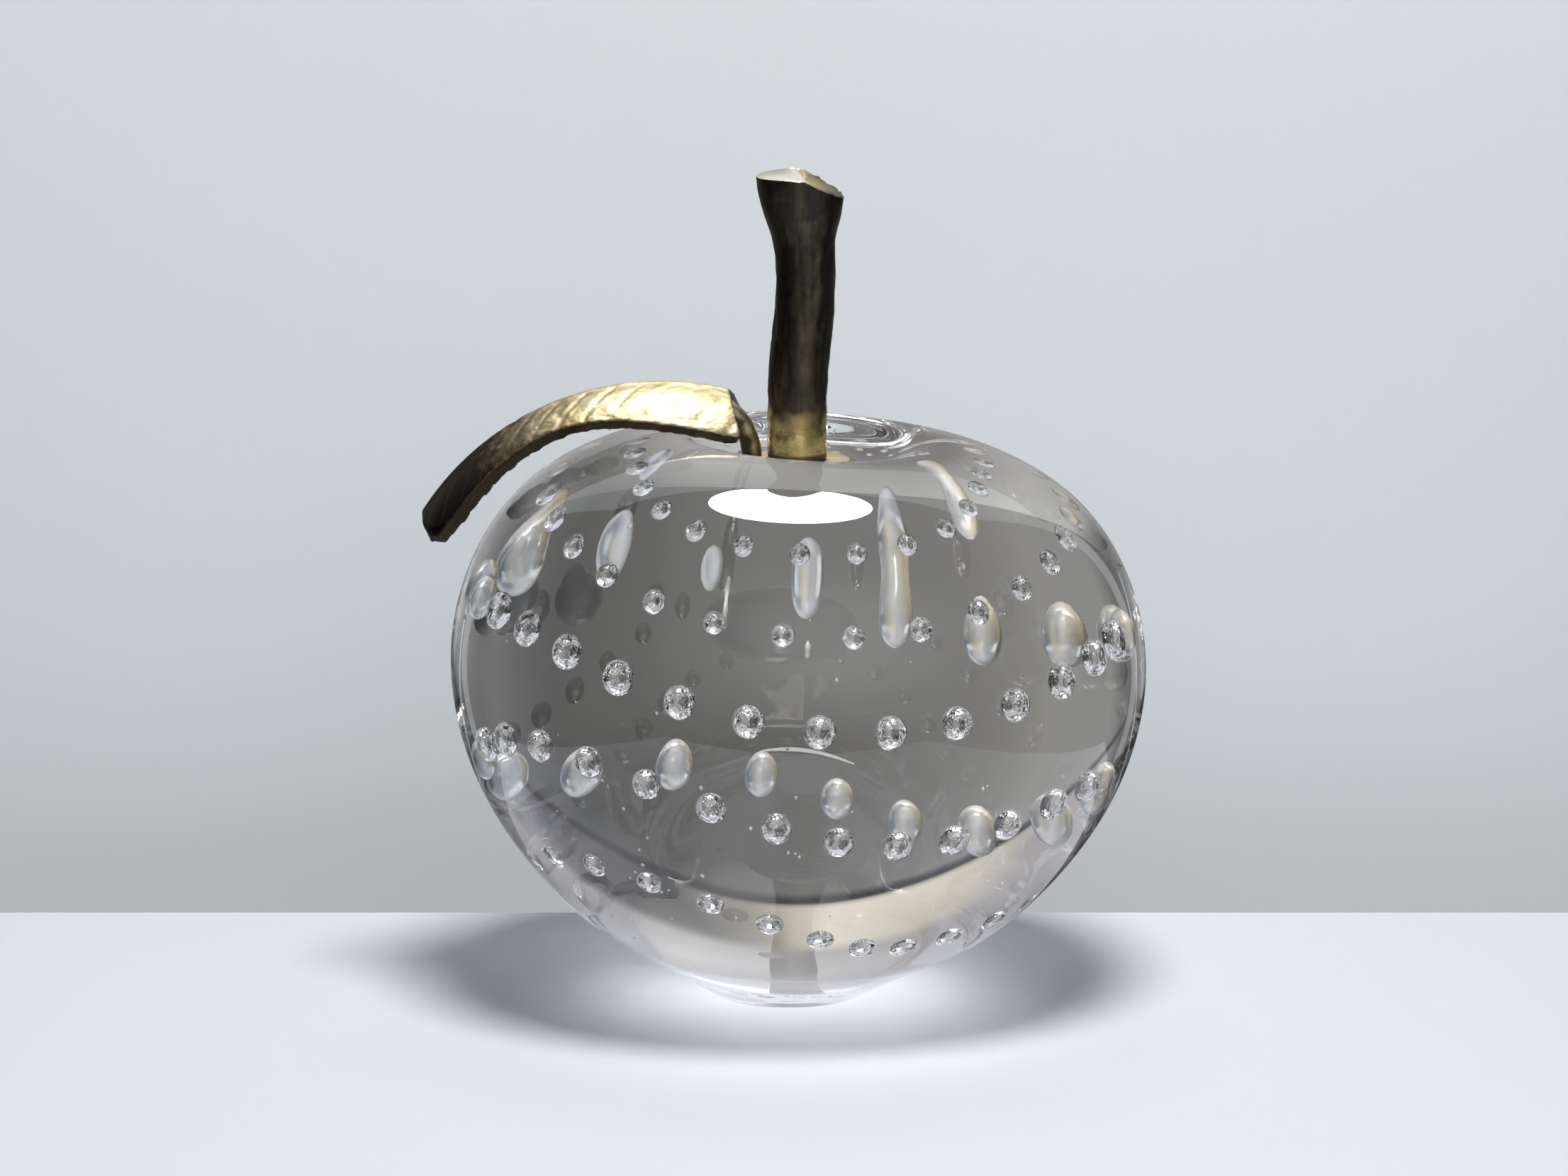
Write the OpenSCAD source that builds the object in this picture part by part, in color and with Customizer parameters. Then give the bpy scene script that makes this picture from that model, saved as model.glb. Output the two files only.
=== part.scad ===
// Solid glass apple with rings of trapped air bubbles inside it, a ground flat
// foot, and a cast stem and leaf fastened to a stud that is cemented in its crown.
// Millimetres. The foot's centre is the origin and it stands on Z = 0. The leaf
// points along -X, and the side seen in the photograph faces -Y.

/* [Glass] */
// Widest diameter of the glass
glass_d = 80; // [77:0.5:84]
// Height of the rim that surrounds the dimple, above the foot
glass_h = 65.3; // [63:0.1:68]
// Lean of the blown shape over its ground foot, towards +X, in degrees
glass_lean = 2.8; // [0:0.1:4]

/* [Bubbles] */
// Bubbles in each ring, one for each spike of the mould that pressed them
bubbles_per_ring = 24; // [12:1:26]
// Size of every bubble, compared with the ring's own size
bubble_scale = 1; // [0.7:0.05:1.25]

/* [Socket] */
// Distance of the stem's axis from the foot's centre, towards +X
stem_x = 1.8; // [1.2:0.1:2.4]
// Depth of the flat seat below the lowest point of the dimple
seat_drop = 0.6; // [0.5:0.1:1]
// Diameter of the socket drilled into the crown
socket_d = 6; // [5.6:0.1:7]
// Depth of the socket below the seat
socket_depth = 7; // [6:0.5:9]
// Diameter of the threaded stud
stud_d = 4; // [3:0.1:4.4]

/* [Stem] */
// Diameter of the stem between its foot and its flared head
stem_d = 6.8; // [6.2:0.1:7]
// Height of the stem's highest edge above its foot
stem_h = 32.8; // [31:0.1:35]
// Largest diameter of the flared head
head_d = 10.5; // [10:0.1:12]
// Angle through which the stem bows to one side and back, in degrees
stem_bow = 7; // [5:0.5:8]

/* [Leaf] */
// Diameter of the flat eye that lies under the stem
eye_d = 12.6; // [12:0.2:13.4]
// Thickness of the eye
eye_t = 0.8; // [0.6:0.1:1.2]
// Thickness of the blade
leaf_t = 1.4; // [1.1:0.1:1.7]
// Half of the blade's width at its widest place
leaf_half_w = 8.7; // [8:0.1:8.8]
// Radius of the arch that the blade follows from its base to its tip
leaf_arch_r = 32.6; // [32:0.1:33.4]
// Drop of the blade's edges below its midrib at its widest place
leaf_cup = 3.5; // [2.9:0.1:3.6]
// Diameter of the leaf's stalk
stalk_d = 2.3; // [1.8:0.1:2.5]
// Depth of the grooves that are cast as side veins
vein_depth = 0.3; // [0.1:0.05:0.4]

/* [Hidden] */
$fn = 96;
// Gap all round between the stud and the eye that turns on it
eye_gap = 0.05;
// Play above and below the eye
eye_play = 0.05;
// Room between the eye's rim and the wall of its seat
seat_room = 0.6;
// Room between the stud's lower end and the bottom of the socket
stud_room = 0.8;
// Distance by which the cement stays below the seat
cement_drop = 0.3;
// Length of the tapped hole in the stem
tapped_depth = 9;

glass_r = glass_d / 2;
socket_r = socket_d / 2;
stud_r = stud_d / 2;
stem_r = stem_d / 2;

// The skin's control points, as parts of the glass radius and of its height. The
// first and last ones lie across the axis, which keeps both poles level.
skin_controls = [
    [-0.31, -0.064], [0, -0.064], [0.31, -0.064], [0.131, 0.045], [0.521, 0.066],
    [0.858, 0.286], [1, 0.478], [1.018, 0.692], [0.822, 0.93], [0.355, 1.026],
    [0.25, 0.957], [0, 0.957], [-0.25, 0.957]
];
skin = [for (p = spline(skin_controls, 7)) [max(0, p.x) * glass_r, p.y * glass_h]];
pole_z = 0.957 * glass_h;
seat_z = pole_z - seat_drop;
seat_r = eye_d / 2 + seat_room;
eye_z = seat_z + eye_play;
stem_z = eye_z + eye_t + eye_play;
stud_bottom_z = seat_z - socket_depth + stud_room;
// The lean moves the cut foot sideways, so the blown shape is moved back by this
foot_shift = 0.02 * glass_lean;

// One line for each ring of bubbles, from the shoulder down. First its front: height,
// depth under the skin, diameter, azimuth of the first bubble from the front towards
// +X, rise of the ring at its two sides, and azimuth of its lowest place. Then its
// back: height, depth under the skin, and fall towards +X. They are drawn for a glass
// of the radius and height named below them.
rings = [
    [53.5, 9.5, 2.2, -1.8, 2, 0, 52, 12, 0],
    [46.8, 10.5, 2.4, -4.2, 4.2, 3, 45, 15, 1.5],
    [37.4, 12.5, 3.3, -10.5, 5, 12, 35, 18.6, 2.2],
    [26, 12.5, 3.1, -3.9, 6.5, 25, 28.6, 19, 3.4],
    [13.6, 7.5, 2.8, -5, 7.5, 32, 15, 9, 2]
];
drawn_r = 40;
drawn_h = 65.3;
// Bubbles at the back, compared with those at the front, and their turn about the axis
back_size = 0.62;
back_turn = -6;

// Centre of the blade's arch, as seen from the front and counted from the stem's axis,
// which leaves the top of the arch this far above the seat
arch_x = -15.5;
arch_top = 9.7;
arch_z = seat_z + arch_top - leaf_arch_r;
// Half outline of the blade seen along its middle normal: distance from the arch's
// centre towards the tip, and half width as a part of the widest half width
blade_controls = [
    [-17.2, -0.8], [-17, 0], [-17.8, 0.84], [-19, 1.03], [-11, 1.03], [-3, 0.8],
    [6, 0.68], [14, 0.86], [18.6, 0.84], [20.1, 0.4], [20.1, 0], [20.1, -0.4]
];
blade_edge = [for (p = spline(blade_controls, 5)) [-p.x, max(0, p.y) * leaf_half_w]];
// Angle by which the blade's outline leans, and the part of the arch that it is cut from
blade_tilt = 20;
blade_start = 62;
blade_sweep = 100;
// Part of the arch that the midrib follows, and its depth under the blade's upper face
rib_start = 77;
rib_sweep = 62;
rib_depth = 0.75;
// Side veins: number of each side's veins, place of the one nearest the base, pitch,
// angle to the midrib and its change from vein to vein, distance from the midrib,
// length, and width
veins = 5;
vein_x = 15;
vein_pitch = 6.6;
vein_angle = 128;
vein_turn = 3;
vein_start = 1.6;
vein_l = 10;
vein_w = 0.44;

function blend(p, i, t) = (
    pow(1 - t, 3) * p[i] + (3 * pow(t, 3) - 6 * t * t + 4) * p[i + 1]
    + (-3 * pow(t, 3) + 3 * t * t + 3 * t + 1) * p[i + 2] + pow(t, 3) * p[i + 3]
) / 6;
function spline(p, n) = [
    for (i = [0 : len(p) - 4]) for (j = [0 : n - 1]) blend(p, i, j / n),
    blend(p, len(p) - 4, 1)
];

// Height and radius of each point that lies at one depth under the rising skin
function shell(depth) = [
    for (i = [1 : len(skin) - 2])
        let (t = skin[i + 1] - skin[i - 1])
        if (t.y > 0) [skin[i].y + depth * t.x / norm(t), skin[i].x - depth * t.y / norm(t)]
];
function mix(a, b, part) = a + (b - a) * part;
function backness(az) = pow((1 - cos(az)) / 2, 3);
function front_height(ring, az) = ring[0] + ring[4] * pow(sin(az - ring[5]), 2);
function back_height(ring, az) = ring[6] - ring[8] * sin(az);
function ring_height(ring, az) =
    mix(front_height(ring, az), back_height(ring, az), backness(az)) * glass_h / drawn_h;
function ring_depth(ring, az) = mix(ring[1], ring[7], backness(az)) * glass_r / drawn_r;

// Places its children in the frame of the leaning blown shape
module leaning() {
    translate([foot_shift, 0, 0]) rotate([0, glass_lean, 0]) children();
}

module bubble_rings() {
    for (ring = rings) for (i = [0 : bubbles_per_ring - 1]) {
        az = ring[3] + i * 360 / bubbles_per_ring;
        z = ring_height(ring, az);
        r = lookup(z, shell(ring_depth(ring, az)));
        rotate([0, 0, az + back_turn * backness(az)]) translate([0, -r, z])
            sphere(d = ring[2] * mix(1, back_size, backness(az)) * bubble_scale, $fn = 24);
    }
}

module glass_body() {
    color([0.86, 0.87, 0.85, 0.35])
    difference() {
        leaning() rotate_extrude($fn = 144) polygon(skin);
        translate([-glass_d, -glass_d, -glass_h]) cube([2 * glass_d, 2 * glass_d, glass_h]);
        translate([stem_x, 0, seat_z]) cylinder(r = seat_r, h = glass_h);
        translate([stem_x, 0, seat_z - socket_depth]) cylinder(r = socket_r, h = glass_h);
        leaning() bubble_rings();
    }
}

module socket_cement() {
    color([0.8, 0.79, 0.74])
    translate([stem_x, 0, seat_z - socket_depth])
    difference() {
        cylinder(r = socket_r, h = socket_depth - cement_drop);
        translate([0, 0, stud_room]) cylinder(r = stud_r, h = socket_depth);
    }
}

module stud() {
    color([0.62, 0.63, 0.65])
    translate([stem_x, 0, stud_bottom_z])
        cylinder(r = stud_r, h = stem_z + tapped_depth - stud_bottom_z);
}

// Part of a ring whose axis lies along Y: it starts at angle a from +X towards +Z
module upright_arc(ring_r, tube_r, a, sweep) {
    rotate([90, 0, 0]) rotate([0, 0, a])
        rotate_extrude(angle = sweep, $fn = 240) translate([ring_r, 0]) circle(r = tube_r, $fn = 48);
}

// The stem runs straight, bows towards +X, then bows back, and its head flares. Each
// length slips a little way into the one below it and is thinner by this step.
step = 0.03;
stem_straight = 0.15 * stem_h;
bow_in_h = 0.31 * stem_h;
head_z = 0.69 * stem_h;
head_tilt = -0.36 * stem_bow;
bow_back_h = head_z - stem_straight - bow_in_h;
bow_in_r = bow_in_h / sin(stem_bow);
bow_back_r = bow_back_h / (sin(stem_bow) - sin(head_tilt));
bow_in_x = bow_in_r * (1 - cos(stem_bow));
head_x = bow_in_x + bow_back_r * (cos(head_tilt) - cos(stem_bow));
head_r = head_d / 2;
head_controls = [
    [stem_r - 0.3, -4], [stem_r - 3 * step, -1], [stem_r, 1.5], [stem_r + 0.1, 3.5],
    [head_r - 0.55, 5.5], [head_r - 0.4, 8], [head_r, 10.2], [head_r + 0.1, 14]
];
head_side = spline(head_controls, 4);
// The head is cut off flat, and slopes down towards +X from this line on
cut_x = 0.5;
cut_slope = 28;

module stem_solid() {
    cylinder(r = stem_r, h = stem_straight);
    translate([bow_in_r, 0, stem_straight])
        upright_arc(bow_in_r, stem_r - step, 180 - stem_bow, stem_bow + 1);
    translate([bow_in_x - bow_back_r * cos(stem_bow), 0, head_z + bow_back_r * sin(head_tilt)])
        upright_arc(bow_back_r, stem_r - 2 * step, -stem_bow - 1, stem_bow - head_tilt + 1.5);
    translate([head_x, 0, head_z]) rotate([0, head_tilt, 0])
        rotate_extrude()
            polygon(concat([[0, head_side[0].y]], head_side, [[0, head_side[len(head_side) - 1].y]]));
}

module stem() {
    color([0.42, 0.36, 0.2])
    translate([stem_x, 0, stem_z])
    difference() {
        stem_solid();
        translate([-head_d, -head_d, stem_h]) cube([2 * head_d, 2 * head_d, head_d]);
        translate([cut_x, -head_d, stem_h]) rotate([0, cut_slope, 0]) cube([2 * head_d, 2 * head_d, head_d]);
        translate([0, 0, -1]) cylinder(r = stud_r, h = 1 + tapped_depth);
    }
}

// Section across the blade, as distance from the arch's centre and place across it
function cupped(y) = leaf_arch_r - leaf_cup * pow(y / leaf_half_w, 2);
module blade_section(top, bottom) {
    across = [for (i = [-7 : 7]) i * (leaf_half_w + 1.5) / 7];
    polygon(concat(
        [for (y = across) [cupped(y) - top, y]],
        [for (i = [14 : -1 : 0]) [cupped(across[i]) - bottom, across[i]]]
    ));
}

// A layer of the arched blade between two depths under its upper face
module blade_layer(top, bottom) {
    rotate([90, 0, 0]) rotate([0, 0, blade_start])
        rotate_extrude(angle = blade_sweep, $fn = 180) blade_section(top, bottom);
}

// The blade's outline and the side veins are upright prisms, tilted like its middle
module upright_prism() {
    rotate([0, -blade_tilt, 0]) linear_extrude(height = 2 * leaf_arch_r) children();
}

module vein_lines() {
    for (side = [-1, 1]) for (i = [0 : veins - 1])
        translate([vein_x - vein_pitch * i, 0]) rotate([0, 0, side * (vein_angle - vein_turn * i)])
            translate([vein_start, -vein_w / 2]) square([vein_l, vein_w]);
}

module blade() {
    difference() {
        intersection() {
            blade_layer(0, leaf_t);
            upright_prism() polygon(concat(
                blade_edge,
                [for (i = [len(blade_edge) - 1 : -1 : 0]) [blade_edge[i].x, -blade_edge[i].y]]
            ));
        }
        intersection() {
            blade_layer(-1, vein_depth);
            upright_prism() vein_lines();
        }
    }
}

// The stalk rises from the eye, clear of the stem, and bends over to become the
// thinner midrib
stalk_r = stalk_d / 2;
rib_r = stalk_r / 1.15;
stalk_room = 0.65;
stalk_bend_r = 6.9;
stalk_sweep = 84;
stalk_x = -(stem_r + stalk_room + stalk_r + stalk_bend_r);
stalk_z = seat_z + 1.1;

module leaf_solid() {
    translate([arch_x, 0, arch_z]) {
        blade();
        upright_arc(leaf_arch_r - rib_depth, rib_r, rib_start, rib_sweep);
    }
    translate([stalk_x, 0, stalk_z]) {
        upright_arc(stalk_bend_r, stalk_r, 0, stalk_sweep);
        translate([stalk_bend_r, 0, eye_z - stalk_z]) cylinder(r = stalk_r, h = stalk_z - eye_z);
    }
    translate([0, 0, eye_z]) cylinder(r = eye_d / 2, h = eye_t);
}

module leaf() {
    color([0.72, 0.6, 0.33])
    translate([stem_x, 0, 0])
    difference() {
        leaf_solid();
        translate([0, 0, eye_z - 1]) cylinder(r = stud_r + eye_gap, h = eye_t + 2);
    }
}

glass_body();
socket_cement();
stud();
stem();
leaf();
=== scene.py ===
"""Dresses the art glass apple: blown glass with trapped bubbles, cast brass stem and leaf.

Lengths are in millimetres and angles in radians, unless a note says otherwise.
"""

import logging
import math
from contextlib import contextmanager
from dataclasses import dataclass, field
from enum import Enum
from typing import Iterator, Sequence

import bpy
from mathutils import Matrix, Vector, noise


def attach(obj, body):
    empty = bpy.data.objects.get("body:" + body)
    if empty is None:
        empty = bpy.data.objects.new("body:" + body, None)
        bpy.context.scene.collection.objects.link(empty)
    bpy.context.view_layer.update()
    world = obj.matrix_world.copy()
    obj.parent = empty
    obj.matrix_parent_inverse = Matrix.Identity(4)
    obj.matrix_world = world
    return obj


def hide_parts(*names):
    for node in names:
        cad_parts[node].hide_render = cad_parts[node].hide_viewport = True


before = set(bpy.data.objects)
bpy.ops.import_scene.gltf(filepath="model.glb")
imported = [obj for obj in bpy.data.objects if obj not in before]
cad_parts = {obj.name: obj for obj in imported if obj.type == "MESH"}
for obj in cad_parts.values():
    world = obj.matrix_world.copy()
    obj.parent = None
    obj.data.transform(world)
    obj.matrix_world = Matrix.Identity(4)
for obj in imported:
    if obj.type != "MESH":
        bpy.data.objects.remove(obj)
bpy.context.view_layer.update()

LOG = logging.getLogger("apple")
MM = 0.001
NOISE_SEED = 1

Point = tuple[float, float]
Place = tuple[float, float, float]
Colour = tuple[float, float, float]
Tone = float | Colour
Stops = tuple[tuple[float, Tone], ...]
Piece = bpy.types.Object
Socket = bpy.types.NodeSocket
Material = bpy.types.Material


class Body(Enum):
    """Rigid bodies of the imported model."""

    APPLE = "apple"
    LEAF = "leaf"


class Slot(Enum):
    """Material slots of the record."""

    GLASS = "glass"
    CEMENT = "cement"
    STEEL = "steel"
    STEM = "stem_brass"
    LEAF = "leaf_brass"


# Sizes of the part, as its drawing has them
GLASS_R = 40.0
GLASS_H = 65.3
LEAN = math.radians(2.8)
FOOT_SHIFT = 0.056
STEM_X = 1.8
POLE_Z = 0.957 * GLASS_H
SEAT_Z = POLE_Z - 0.6
SEAT_ROOM = 0.6
SOCKET_R = 3.0
SOCKET_DEPTH = 7.0
CEMENT_DROP = 0.3
STUD_R = 2.0
STUD_ROOM = 0.8
EYE_R = 6.3
EYE_T = 0.8
EYE_GAP = 0.05
STEM_R = 3.4
STEM_H = 32.8
HEAD_R = 5.25
STEM_Z = SEAT_Z + EYE_T + 2 * EYE_GAP
TAPPED_DEPTH = 9.0
LEAF_T = 1.4
LEAF_HALF_W = 8.7
LEAF_CUP = 3.5
ARCH_R = 32.6
ARCH_X = -15.5
ARCH_Z = SEAT_Z + 9.7 - ARCH_R
BLADE_TILT = math.radians(20.0)
STALK_R = 1.15
STALK_BEND_R = 6.9
STALK_TURN = math.radians(84)
STALK_ROOM = 0.65

# The glass's skin, as parts of its radius and height; the ends lie across the axis
SKIN_CONTROLS: tuple[Point, ...] = (
    (-0.31, -0.064), (0, -0.064), (0.31, -0.064), (0.131, 0.045), (0.521, 0.066),
    (0.858, 0.286), (1, 0.478), (1.018, 0.692), (0.822, 0.93), (0.355, 1.026),
    (0.25, 0.957), (0, 0.957), (-0.25, 0.957),
)
# The underside runs straight from under the foot's edge to the skin
UNDERSIDE: tuple[Point, ...] = ((5.97, -1.5), (17.9, 5.3))
# The blade's edge: distance along the arch, and share of its half width
BLADE_CONTROLS: tuple[Point, ...] = (
    (-17.2, -0.8), (-17, 0), (-17.8, 0.84), (-19, 1.03), (-11, 1.03), (-3, 0.8),
    (6, 0.68), (14, 0.86), (18.6, 0.84), (20.1, 0.4), (20.1, 0), (20.1, -0.4),
)
# The stem's side: radius, and height over the place where the head begins to flare
HEAD_CONTROLS: tuple[Point, ...] = (
    (STEM_R, -4.0), (STEM_R, -1.0), (STEM_R, 1.4), (STEM_R + 0.3, 3.6), (HEAD_R - 0.75, 5.8),
    (HEAD_R - 0.3, 8.0), (HEAD_R, 10.2), (HEAD_R + 0.1, 14.0),
)

GLASS_IOR = 1.52
RESIN_IOR = 1.5
# Painted colour fringe of a rear bubble by the slant of its face: yellow on one side, blue on the
# other, for the colours the glass splits from the light
PAINTED_FRINGE: Stops = (
    (0.05, (1.0, 0.82, 0.55)), (0.25, (1.0, 0.95, 0.84)), (0.42, 1.0), (0.6, 1.0),
    (0.78, (0.82, 0.91, 1.0)), (0.95, (0.5, 0.7, 1.0)),
)
PAINTED_FRINGE_AXIS: Place = (-0.45, 0.0, -0.25)
# Painted light and shade of the glowing card behind the glass, from -X to +X: below its edge,
# painted shade of the apple's shadow; over its edge, a painted caustic pool; its top; dark ends
# for the dark rims
PAINTED_CARD_FOOT: Stops = (
    (0.10, 0.03), (0.24, (0.12, 0.12, 0.118)), (0.33, (0.27, 0.27, 0.26)),
    (0.45, (0.27, 0.265, 0.255)), (0.50, (0.17, 0.167, 0.16)), (0.53, (0.09, 0.088, 0.083)),
    (0.57, (0.06, 0.059, 0.057)), (0.66, 0.085), (0.74, (0.02, 0.02, 0.021)),
)
PAINTED_CARD_CAUSTIC_BAND: Stops = (
    (0.16, 0.03), (0.25, (0.12, 0.115, 0.12)), (0.32, (0.33, 0.31, 0.32)),
    (0.42, (0.38, 0.35, 0.36)), (0.465, (0.60, 0.56, 0.47)), (0.505, (0.78, 0.73, 0.62)),
    (0.525, (0.30, 0.28, 0.24)), (0.55, (0.07, 0.068, 0.065)), (0.62, (0.07, 0.066, 0.075)),
    (0.67, (0.20, 0.20, 0.21)), (0.76, 0.02),
)
PAINTED_CARD_TOP: Stops = (
    (0.14, 0.03), (0.28, (0.30, 0.29, 0.30)), (0.50, (0.37, 0.355, 0.36)),
    (0.72, (0.30, 0.29, 0.30)), (0.86, 0.03),
)
# Painted dark line along the card's edge
PAINTED_CARD_DARK_LINE: Colour = (0.02, 0.018, 0.02)


def spline(controls: Sequence[Point], steps: int) -> list[Point]:
    """Samples a uniform cubic spline.

    Args:
        controls: control points, the first and last lying beyond the ends.
        steps: samples in each span.

    Returns:
        Points along the curve, both ends included.
    """
    spans = len(controls) - 3
    points = []
    for k in range(spans * steps + 1):
        i = min(k // steps, spans - 1)
        t = k / steps - i
        weights = (
            (1 - t) ** 3, 3 * t**3 - 6 * t**2 + 4, -3 * t**3 + 3 * t**2 + 3 * t + 1, t**3,
        )
        points.append(tuple(
            sum(w * controls[i + n][axis] for n, w in enumerate(weights)) / 6
            for axis in (0, 1)
        ))
    return points


def leaning(point: Vector) -> Vector:
    """Takes a point of the blown shape to its place over the ground foot.

    Args:
        point: in the frame of the blown shape's own axis.

    Returns:
        The point in the part's frame.
    """
    turned = Matrix.Rotation(LEAN, 3, "Y") @ point
    return turned + Vector((FOOT_SHIFT, 0, 0))


def deselect() -> None:
    """Leaves object mode with nothing selected."""
    if bpy.context.object and bpy.context.object.mode != "OBJECT":
        bpy.ops.object.mode_set(mode="OBJECT")
    bpy.ops.object.select_all(action="DESELECT")


def pick(*pieces: Piece) -> None:
    """Selects pieces, the last one active.

    Args:
        pieces: objects to select.
    """
    deselect()
    for piece in pieces:
        piece.select_set(True)
    bpy.context.view_layer.objects.active = pieces[-1]


def joined(name: str, pieces: Sequence[Piece]) -> Piece:
    """Joins pieces into one.

    Args:
        name: name of the result.
        pieces: the pieces, the last one giving its place.

    Returns:
        The joined object, with its place held in its mesh.
    """
    pick(*pieces)
    if len(pieces) > 1:
        bpy.ops.object.join()
    whole = bpy.context.object
    whole.name = name
    whole.data.name = name
    bpy.ops.object.transform_apply(location=True, rotation=True, scale=True)
    return whole


def apply_modifier(piece: Piece, kind: str, **settings: object) -> None:
    """Adds a modifier and applies it.

    Args:
        piece: object that gets it.
        kind: Blender's name for the modifier's type.
        settings: its properties.
    """
    pick(piece)
    modifier = piece.modifiers.new(kind.lower(), kind)
    for key, value in settings.items():
        setattr(modifier, key, value)
    bpy.ops.object.modifier_apply(modifier=modifier.name)


@contextmanager
def editing(piece: Piece) -> Iterator[None]:
    """Opens a piece in edit mode with all of it selected, and closes it afterwards.

    Args:
        piece: mesh object.

    Yields:
        Nothing.
    """
    pick(piece)
    bpy.ops.object.mode_set(mode="EDIT")
    bpy.ops.mesh.select_all(action="SELECT")
    yield
    bpy.ops.object.mode_set(mode="OBJECT")


def chain(name: str, points: Sequence[Vector]) -> Piece:
    """Draws an open line of vertices by extruding one along the points.

    Args:
        name: name of the object.
        points: metres.

    Returns:
        The object, in object mode.
    """
    deselect()
    bpy.ops.mesh.primitive_plane_add(size=MM, location=(0, 0, 0))
    line = bpy.context.object
    line.name = name
    with editing(line):
        bpy.ops.mesh.merge(type="CENTER")
        bpy.ops.transform.translate(value=points[0])
        for start, end in zip(points, points[1:]):
            bpy.ops.mesh.extrude_region_move(TRANSFORM_OT_translate={"value": end - start})
    return line


def lathe(name: str, outline: Sequence[Point], steps: int) -> Piece:
    """Spins an outline about the Z axis.

    Args:
        name: name of the object.
        outline: radius and height of each point.
        steps: segments round the axis.

    Returns:
        The closed solid.
    """
    piece = chain(name, [Vector((r, 0, z)) * MM for r, z in outline])
    with editing(piece):
        bpy.ops.mesh.spin(steps=steps, angle=math.tau, center=(0, 0, 0), axis=(0, 0, 1))
        bpy.ops.mesh.select_all(action="SELECT")
        bpy.ops.mesh.remove_doubles(threshold=MM / 100)
        bpy.ops.mesh.normals_make_consistent(inside=False)
    return piece


def drill(piece: Piece, radius: float, bottom: float, depth: float, facets: int) -> None:
    """Cuts a round hole on the stem's axis.

    Args:
        piece: the solid.
        radius: of the hole.
        bottom: height of its lower end.
        depth: length of the drill.
        facets: sides of the drill.
    """
    deselect()
    bpy.ops.mesh.primitive_cylinder_add(
        vertices=facets, radius=radius * MM, depth=depth * MM,
        location=Vector((STEM_X, 0, bottom + depth / 2)) * MM,
    )
    cutter = bpy.context.object
    apply_modifier(piece, "BOOLEAN", object=cutter, operation="DIFFERENCE", solver="EXACT")
    bpy.data.objects.remove(cutter)


def rgba(tone: Tone) -> tuple[float, float, float, float]:
    """Writes a tone as Blender stores colours.

    Args:
        tone: a grey, or red, green and blue.

    Returns:
        Red, green, blue and full opacity.
    """
    red, green, blue = tone if isinstance(tone, tuple) else (tone, tone, tone)
    return red, green, blue, 1.0


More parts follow.
